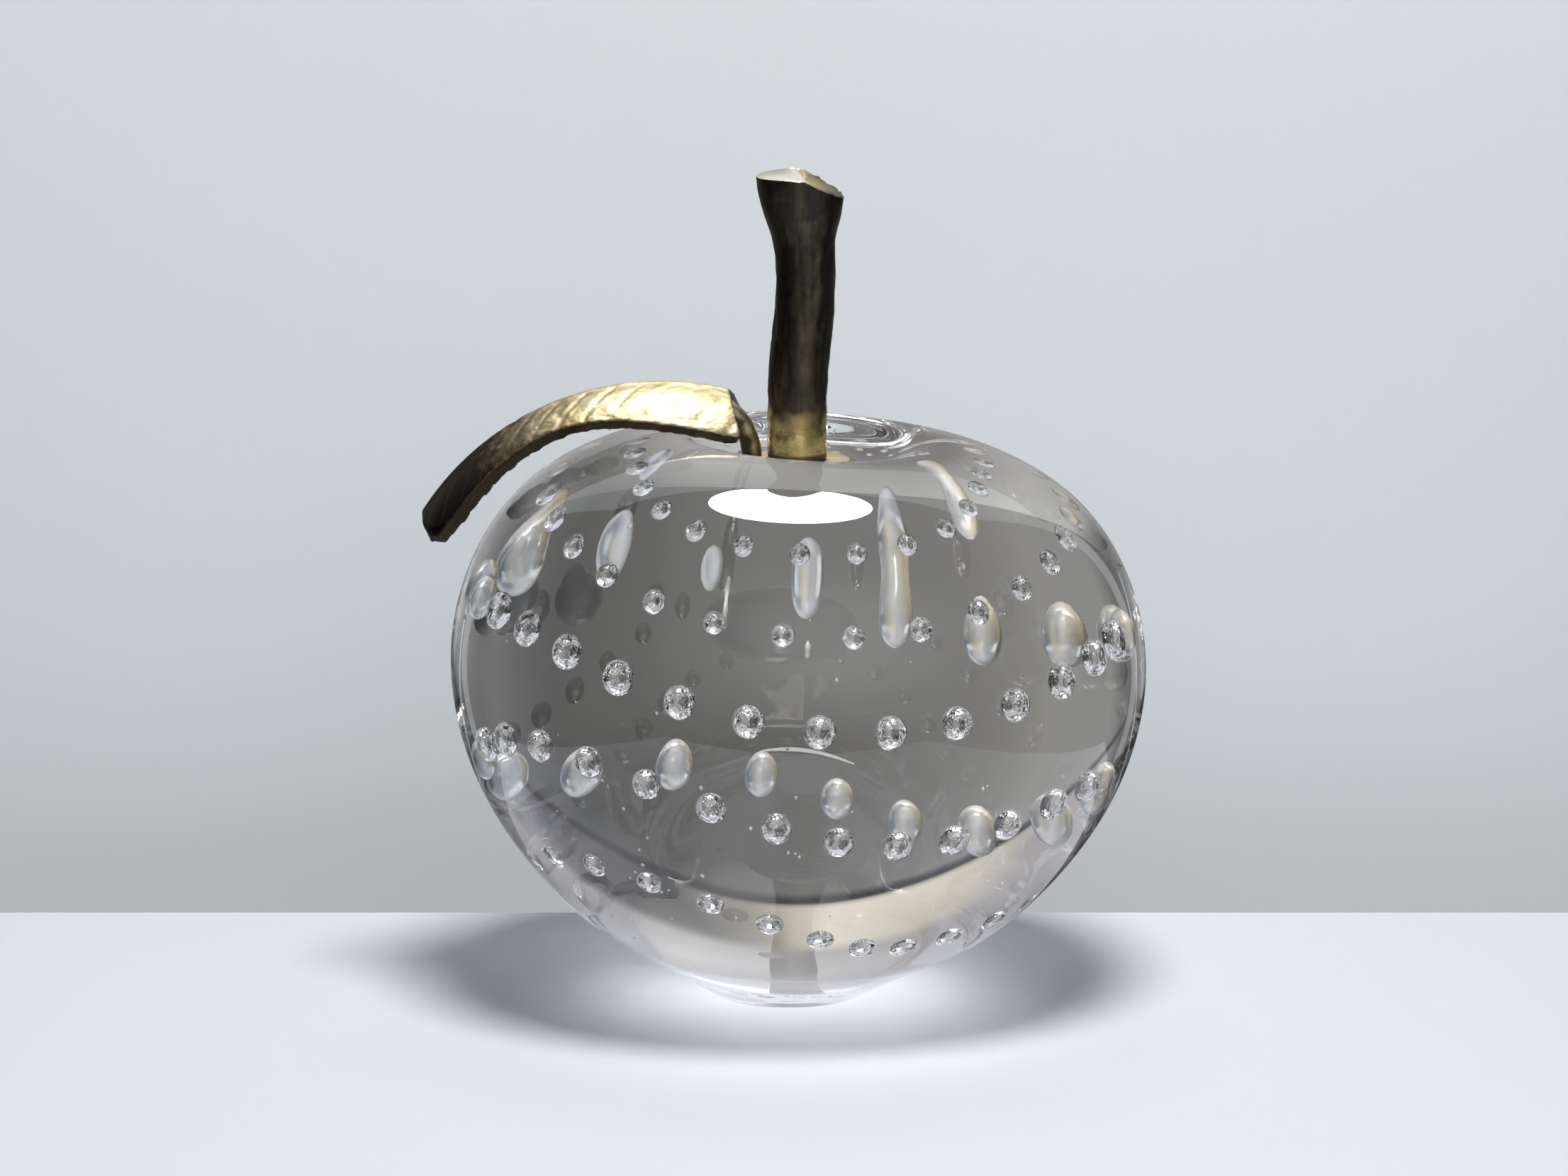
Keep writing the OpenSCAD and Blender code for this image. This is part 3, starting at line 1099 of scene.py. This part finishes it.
@dataclass
class CastStem:
    """The brass stem. It bows away over a bent length and leans back below its head."""

    bow: float = math.radians(7.0)
    lean_back: float = -0.36
    straight: float = 0.15 * STEM_H
    bent: float = 0.31 * STEM_H
    head_z: float = 0.69 * STEM_H
    chamfer: float = 0.35
    rows: int = 150
    round_steps: int = 96
    side: list[Point] = field(default_factory=list)

    def centre_line(self, height: float) -> tuple[float, float]:
        """Gives the bowed axis.

        Args:
            height: above the stem's foot.

        Returns:
            Distance towards +X from the stud's axis, and the axis's tilt towards +X.
        """
        tilt = self.lean_back * self.bow
        fall = math.sin(self.bow) - math.sin(tilt)
        in_r = self.bent / math.sin(self.bow)
        back_r = (self.head_z - self.straight - self.bent) / fall
        in_x = in_r * (1 - math.cos(self.bow))
        above = height - self.straight
        if above <= 0:
            return 0.0, 0.0
        if above <= self.bent:
            lean = math.asin(above / in_r)
            return in_r * (1 - math.cos(lean)), lean
        if height <= self.head_z:
            lean = math.asin(math.sin(self.bow) - (above - self.bent) / back_r)
            return in_x + back_r * (math.cos(lean) - math.cos(self.bow)), lean
        head_x = in_x + back_r * (math.cos(tilt) - math.cos(self.bow))
        return head_x + (height - self.head_z) * math.tan(tilt), tilt

    def radius(self, height: float) -> float:
        """Gives the stem's radius.

        Args:
            height: above the stem's foot.

        Returns:
            The radius.
        """
        above = height - self.head_z
        for (r0, z0), (r1, z1) in zip(self.side, self.side[1:]):
            if z0 <= above <= z1:
                return r0 + (r1 - r0) * (above - z0) / (z1 - z0)
        return STEM_R if above < 0 else self.side[-1][0]

    def build(self) -> Piece:
        """Models the stem as a lathe form that is bowed, cut and hammered.

        Returns:
            The object.
        """
        self.side = spline(HEAD_CONTROLS, 8)
        top, first = STEM_H + 3.0, 0.12
        outline = [(0.0, 0.0), (STEM_R - self.chamfer, 0.0)]
        outline += [(1.0, first + (top - first) * i / self.rows) for i in range(self.rows + 1)]
        outline.append((0.0, top))
        stem = lathe("stem_casting", outline, self.round_steps)
        for vertex in stem.data.vertices:
            self.shape(vertex)
        for x, tilt in ((0, 0.0), (0.5, math.radians(28))):
            with editing(stem):
                bpy.ops.mesh.bisect(
                    plane_co=Vector((x, 0, STEM_H)) * MM, use_fill=True, clear_outer=True,
                    plane_no=(math.sin(tilt), 0, math.cos(tilt)),
                )
        apply_modifier(
            stem, "BEVEL", width=self.chamfer * MM, segments=3, limit_method="ANGLE",
            angle_limit=math.radians(38),
        )
        stem.location = Vector((STEM_X, 0, STEM_Z)) * MM
        stem = joined("stem_casting", [stem])
        drill(stem, STUD_R + 0.02, STEM_Z - 1, TAPPED_DEPTH + 1, 40)
        self.paint(stem)
        stem.data.materials.append(StemFinish().material())
        bpy.ops.object.shade_smooth_by_angle(angle=math.radians(50))
        return stem

    def shape(self, vertex: bpy.types.MeshVertex) -> None:
        """Moves one vertex of the lathe form to the cast and hammered surface.

        Args:
            vertex: vertex of the form, in metres from the stem's foot.
        """
        place = vertex.co / MM
        height = place.z
        flat = Vector((place.x, place.y, 0))
        on_axis, at_foot = flat.length <= 0.5, height < 0.05
        if not on_axis:
            wanted = STEM_R - self.chamfer if at_foot else self.radius(height)
            turn = math.atan2(place.y, place.x)
            spot = Vector((math.cos(turn) * 3, math.sin(turn) * 3, height * 0.55))
            blows = noise.noise(spot * 0.9) * 0.16 + noise.noise(spot * 2.3) * 0.05
            flat = flat.normalized() * (wanted + min(blows, 0.05) * min(1.0, height / 2))
        shift, lean = self.centre_line(height)
        vertex.co = Vector((
            flat.x * math.cos(lean) + shift, flat.y, height - flat.x * math.sin(lean),
        )) * MM

    def paint(self, stem: Piece) -> None:
        """Stores how far the stem is rubbed bright, and painted shade in a thin band at its base,
        as a mesh attribute.

        Args:
            stem: the stem in its place.
        """
        rubbed_to, most_rubbed = 3.2, 0.8
        joint, joint_painted_shade = 0.7, 0.15
        wear_and_shade = stem.data.attributes.new("wear_and_shade", "FLOAT", "POINT")
        for index, vertex in enumerate(stem.data.vertices):
            height = vertex.co.z / MM - STEM_Z
            edge = noise.noise(vertex.co / MM * 0.8) * 1.3
            foot = min(most_rubbed, 1 - (height + edge - rubbed_to) / rubbed_to)
            # Painted shade: the lowest band over the eye is kept dark, for the shade in the gap
            # under the stem
            if height < joint:
                foot = joint_painted_shade
            cut_face = 1.0 if height > STEM_H - 0.12 else 0.0
            wear_and_shade.data[index].value = max(0.0, foot, cut_face)

    def dress(self) -> None:
        """Builds the stem and puts it in place of the CAD node."""
        stem = self.build()
        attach(stem, Body.APPLE.value)
        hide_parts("stem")
        LOG.info("stem: %d faces", len(stem.data.polygons))


@dataclass
class CastLeaf:
    """Blade, stalk and eye in one casting."""

    length_steps: int = 150
    width_steps: int = 48
    voxel: float = 0.2
    rib: float = 0.22
    groove: float = -0.14
    vein_pitch: float = 3.3
    vein_slant: float = 0.75
    tip_x: float = -24.0
    tip_run: float = 13.0
    tip_weight: float = 1.1
    edge: list[Point] = field(default_factory=list)

    def half_width(self, along: float) -> float:
        """Gives the blade's half width.

        Args:
            along: distance from the arch's middle towards the tip.

        Returns:
            The half width.
        """
        widest = 0.0
        for (u0, w0), (u1, w1) in zip(self.edge, self.edge[1:]):
            low, high = min(u0, u1), max(u0, u1)
            if low <= along <= high and high > low:
                widest = max(widest, w0 + (w1 - w0) * (along - u0) / (u1 - u0))
        return widest * LEAF_HALF_W

    def vein(self, along: float, across: float) -> float:
        """Gives the relief of midrib and side veins.

        Args:
            along: distance towards the tip.
            across: distance from the midrib.

        Returns:
            The height.
        """
        rib = self.rib * math.exp(-((across / 0.75) ** 2))
        slanted = (along - self.vein_slant * abs(across)) / self.vein_pitch
        away = abs(slanted - round(slanted)) * self.vein_pitch
        fade = min(1.0, abs(across) / 1.6)
        return rib + self.groove * math.exp(-((away / 0.3) ** 2)) * fade

    def blade(self) -> Piece:
        """Models the blade from a grid that is arched and cupped.

        Returns:
            The blade as a closed sheet.
        """
        self.edge = [(u, w) for u, w in spline(BLADE_CONTROLS, 10) if w >= 0]
        start = min(u for u, w in self.edge)
        end = max(u for u, w in self.edge) - 0.02
        deselect()
        bpy.ops.mesh.primitive_grid_add(
            x_subdivisions=self.length_steps, y_subdivisions=self.width_steps, size=2,
        )
        blade = bpy.context.object
        for vertex in blade.data.vertices:
            share = (vertex.co.x + 1) / 2
            along = start + (end - start) * share
            across = vertex.co.y * max(self.half_width(along), 0.3)
            vertex.co = self.arched(along, across, self.vein(along, across)) * MM
        apply_modifier(blade, "SOLIDIFY", thickness=LEAF_T * MM, offset=1.0)
        return blade

    def arched(self, along: float, across: float, relief: float) -> Vector:
        """Takes a point of the flat blade onto the arch.

        Args:
            along: distance from the arch's middle towards the tip.
            across: distance from the midrib.
            relief: height over the cupped surface.

        Returns:
            The point in the part's frame.
        """
        reach = ARCH_R - LEAF_CUP * (across / LEAF_HALF_W) ** 2
        upright = math.sqrt(max(reach**2 - along**2, 1.0)) + relief
        x = -along * math.cos(BLADE_TILT) - upright * math.sin(BLADE_TILT)
        z = -along * math.sin(BLADE_TILT) + upright * math.cos(BLADE_TILT)
        return Vector((STEM_X + ARCH_X + x, across, ARCH_Z + z))

    def stalk(self) -> Piece:
        """Models the stalk that rises from the eye and bends into the midrib.

        Returns:
            The bar.
        """
        bend_x = STEM_X - (STEM_R + STALK_ROOM + STALK_R + STALK_BEND_R)
        centre = Vector((bend_x, 0, SEAT_Z + 1.1))
        path = [Vector((centre.x + STALK_BEND_R, 0, SEAT_Z + 0.3))]
        spans = 23
        for i in range(spans + 1):
            turn = STALK_TURN * i / spans
            path.append(centre + STALK_BEND_R * Vector((math.cos(turn), 0, math.sin(turn))))
        deselect()
        bpy.ops.curve.primitive_nurbs_path_add()
        bar = bpy.context.object
        curve = bar.data
        curve.splines.clear()
        line = curve.splines.new("POLY")
        line.points.add(len(path) - 1)
        for point, place in zip(line.points, path):
            point.co = (*(place * MM), 1.0)
        curve.bevel_depth = STALK_R * MM
        curve.bevel_resolution = 6
        curve.use_fill_caps = True
        pick(bar)
        bpy.ops.object.convert(target="MESH")
        return bpy.context.object

    def eye(self) -> Piece:
        """Models the flat eye with its hole.

        Returns:
            The ring.
        """
        low = SEAT_Z + EYE_GAP
        high = low + EYE_T
        bore, soft = STUD_R + EYE_GAP, 0.2
        outline = [
            (bore, low), (EYE_R - soft, low), (EYE_R, low + soft), (EYE_R, high - soft),
            (EYE_R - soft, high), (bore, high), (bore, low),
        ]
        ring = lathe("eye", outline, 96)
        ring.location[0] = STEM_X * MM
        return ring

    def build(self) -> Piece:
        """Fuses blade, stalk and eye as the casting did.

        Returns:
            The object.
        """
        leaf = joined("leaf_casting", [self.blade(), self.stalk(), self.eye()])
        apply_modifier(leaf, "REMESH", mode="VOXEL", voxel_size=self.voxel * MM)
        apply_modifier(leaf, "SMOOTH", factor=0.5, iterations=3)
        self.roughen(leaf)
        self.paint(leaf)
        leaf.data.materials.append(LeafFinish().material())
        pick(leaf)
        bpy.ops.object.shade_smooth()
        return leaf

    def roughen(self, leaf: Piece) -> None:
        """Gives blade and stalk a cast surface, and the tip its heavier underside.

        Args:
            leaf: the fused leaf.
        """
        normals = [vertex.normal.copy() for vertex in leaf.data.vertices]
        for vertex, normal in zip(leaf.data.vertices, normals):
            place = vertex.co / MM
            lump = noise.noise(place * 0.8) * 0.07 + noise.noise(place * 2.6) * 0.03
            if place.z > SEAT_Z + 2:
                vertex.co += normal * lump * MM
            near_tip = min(1.0, max(0.0, (self.tip_x - place.x) / self.tip_run))
            vertex.co.z -= self.tip_weight * near_tip * max(0.0, -normal.z) * MM

    def paint(self, leaf: Piece) -> None:
        """Stores painted shade on the faces that turn in under the arch, and a darker tip, as a
        mesh attribute.

        Args:
            leaf: the leaf in its place.
        """
        dark_x, dark_run, ragged, darkest = -27, 8, 12, 0.95
        dark_tone = leaf.data.attributes.new("dark_tone", "FLOAT", "POINT")
        arch = Vector((STEM_X + ARCH_X, 0, ARCH_Z))
        for index, vertex in enumerate(leaf.data.vertices):
            place = vertex.co / MM
            out = place - arch
            out.y = 0
            facing = vertex.normal.dot(out.normalized())
            spot = noise.noise(place * 0.9) * 0.25 + noise.noise(place * 3.1) * 0.15
            # Painted shade: faces turned in under the arch, such as the lower edge and the
            # underside, are darkened
            under = 1 - (facing + 0.05 + spot) / 0.4
            # Darker towards the tip, with a ragged border
            tip = (dark_x - place.x + ragged * spot) / dark_run
            dark_tone.data[index].value = min(darkest, max(0.0, under, tip))

    def dress(self) -> None:
        """Builds the leaf and puts it in place of the CAD node."""
        leaf = self.build()
        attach(leaf, Body.LEAF.value)
        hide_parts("leaf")
        LOG.info("leaf: %d faces", len(leaf.data.polygons))


@dataclass(frozen=True)
class SoftBox:
    """A round soft box, with its power in watts."""

    name: str
    place: Place
    target: Place
    size: float
    power: float
    colour: Colour = (1.0, 0.985, 0.965)

    def hang(self) -> Piece:
        """Hangs it in the scene.

        Returns:
            The lamp.
        """
        light = bpy.data.lights.new(self.name, "AREA")
        light.shape = "DISK"
        light.size = self.size * MM
        light.energy = self.power
        light.color = self.colour
        lamp = bpy.data.objects.new(self.name, light)
        place, target = Vector(self.place), Vector(self.target)
        lamp.location = place * MM
        lamp.rotation_euler = (target - place).to_track_quat("-Z", "Y").to_euler()
        bpy.context.collection.objects.link(lamp)
        return lamp


@dataclass
class Stage:
    """Table, wall, lights and camera of the photograph. Its angles are in degrees."""

    distance: float = 950.0
    elevation: float = 11.15
    aim: Place = (0.29, 0.0, 47.59)
    focal_px: float = 11637.5
    image_w: float = 2212.0
    sensor: float = 36.0
    clip_start: float = 50.0
    table_half: float = 110.0
    table_front: float = -140.0
    table_edge: float = 38.7
    table_z: float = -0.03
    table_colour: Colour = (0.395, 0.416, 0.465)
    wall_y: float = 66.0
    wall_half: float = 98.0
    wall_h: float = 185.0
    wall_colour: Colour = (0.525, 0.560, 0.582)
    drop: float = -30.0
    card_half: float = 84.0
    card_h: float = 110.0
    card_front: float = 26.0
    floor_glow: float = 2.0
    back_box: SoftBox = SoftBox("softbox_back", (5, 256, 662), (0, 0, 50), 300, 7.0)
    top_box: SoftBox = SoftBox("softbox_top", (50, -190, 680), (0, 0, 30), 230, 8.2)
    room_colour: Colour = (0.98, 0.985, 1.0)
    front_turn: float = 15.0
    front_rise: float = 30.0
    front_focus: float = 6.0
    front_power: float = 1.75
    room: float = 0.02
    bounces: int = 32
    glossy_bounces: int = 12

    def sheet(self, name: str, low: Place, high: Place, material: Material) -> Piece:
        """Lays out one sheet of paper, seen only from its upper or front face.

        Args:
            name: its name.
            low: one corner.
            high: the opposite corner.
            material: of the paper.

        Returns:
            The sheet.
        """
        deselect()
        low, high = Vector(low), Vector(high)
        size = high - low
        upright = size.z > 0
        bpy.ops.mesh.primitive_plane_add(
            size=MM, location=(low + high) / 2 * MM,
            rotation=(math.pi / 2 if upright else 0, 0, 0),
        )
        sheet = bpy.context.object
        sheet.name = name
        sheet.scale = (size.x, size.z if upright else size.y, 1)
        bpy.ops.object.transform_apply(location=True, rotation=True, scale=True)
        sheet.data.materials.append(material)
        return sheet

    def papers(self) -> None:
        """Lays the table, hangs the wall, and sets up two glowing cards of painted light and
        shade that glass and polished metal see, but not the camera.
        """
        self.sheet(
            "table", (-self.table_half, self.table_front, self.table_z),
            (self.table_half, self.table_edge, self.table_z),
            StageFinish("table_paper", self.table_colour).material(),
        )
        wall = self.sheet(
            "wall", (-self.wall_half, self.wall_y, self.drop),
            (self.wall_half, self.wall_y, self.wall_h),
            StageFinish("wall_paper", self.wall_colour).material(),
        )
        wall.visible_shadow = False
        # Painted light and shade: a standing card just before the wall and a floor card behind
        # the apple, which the glass shows instead of the wall and table
        card_y = self.wall_y - 1
        painted_light_card = self.sheet(
            "painted_light_card", (-self.card_half, card_y, self.drop), (self.card_half, card_y, self.card_h),
            PaintedLightCardFinish().material(),
        )
        painted_light_floor_card = self.sheet(
            "painted_light_floor_card", (-self.card_half, self.card_front, 0), (self.card_half, card_y, 0),
            PaintedLightCardFinish("painted_light_floor_glow", self.floor_glow).material(),
        )
        # Hidden from the camera, from shadows and from diffuse light
        for card in (painted_light_card, painted_light_floor_card):
            card.visible_camera = False
            card.visible_shadow = False
            card.visible_diffuse = False

    def room_light(self) -> None:
        """Lights the room with one broad soft source at the front."""
        world = bpy.data.worlds.new("room")
        world.use_nodes = True
        tree = world.node_tree
        background = tree.nodes["Background"]
        background.inputs["Color"].default_value = rgba(self.room_colour)
        turn, rise = math.radians(self.front_turn), math.radians(self.front_rise)
        direction = tree.nodes.new("ShaderNodeTexCoord").outputs["Generated"]
        facing = tree.nodes.new("ShaderNodeVectorMath")
        facing.operation = "DOT_PRODUCT"
        facing.inputs[1].default_value = (
            math.cos(rise) * math.sin(turn), -math.cos(rise) * math.cos(turn), math.sin(rise),
        )
        tree.links.new(direction, facing.inputs[0])
        value = facing.outputs["Value"]
        for operation, number in (
            ("MAXIMUM", 0.0), ("POWER", self.front_focus), ("MULTIPLY", self.front_power),
            ("ADD", self.room),
        ):
            step = tree.nodes.new("ShaderNodeMath")
            step.operation = operation
            tree.links.new(value, step.inputs[0])
            step.inputs[1].default_value = number
            value = step.outputs["Value"]
        tree.links.new(value, background.inputs["Strength"])
        bpy.context.scene.world = world

    def camera(self) -> None:
        """Sets up the photograph's camera."""
        rise = math.radians(self.elevation)
        back = Vector((0, -math.cos(rise), math.sin(rise)))
        data = bpy.data.cameras.new("photo_camera")
        data.sensor_width = self.sensor
        data.lens = self.sensor * self.focal_px / self.image_w
        data.clip_start = self.clip_start * MM
        camera = bpy.data.objects.new("photo_camera", data)
        camera.location = (Vector(self.aim) + back * self.distance) * MM
        camera.rotation_euler = (-back).to_track_quat("-Z", "Y").to_euler()
        bpy.context.collection.objects.link(camera)
        bpy.context.scene.camera = camera

    def set_up(self) -> None:
        """Builds the stage."""
        self.camera()
        self.papers()
        self.back_box.hang().visible_diffuse = False
        self.top_box.hang().visible_glossy = False
        self.room_light()
        scene = bpy.context.scene
        scene.view_settings.view_transform = "Standard"
        scene.cycles.max_bounces = self.bounces
        scene.cycles.transmission_bounces = self.bounces
        scene.cycles.glossy_bounces = self.glossy_bounces
        scene.cycles.use_denoising = True


def main() -> None:
    """Dresses the apple and sets its stage."""
    logging.basicConfig(level=logging.INFO, format="%(name)s: %(message)s")
    noise.seed_set(NOISE_SEED)
    Stage().set_up()
    BlownApple().dress()
    SocketFilling().dress()
    CastStem().dress()
    CastLeaf().dress()


if __name__ == "__main__":
    main()
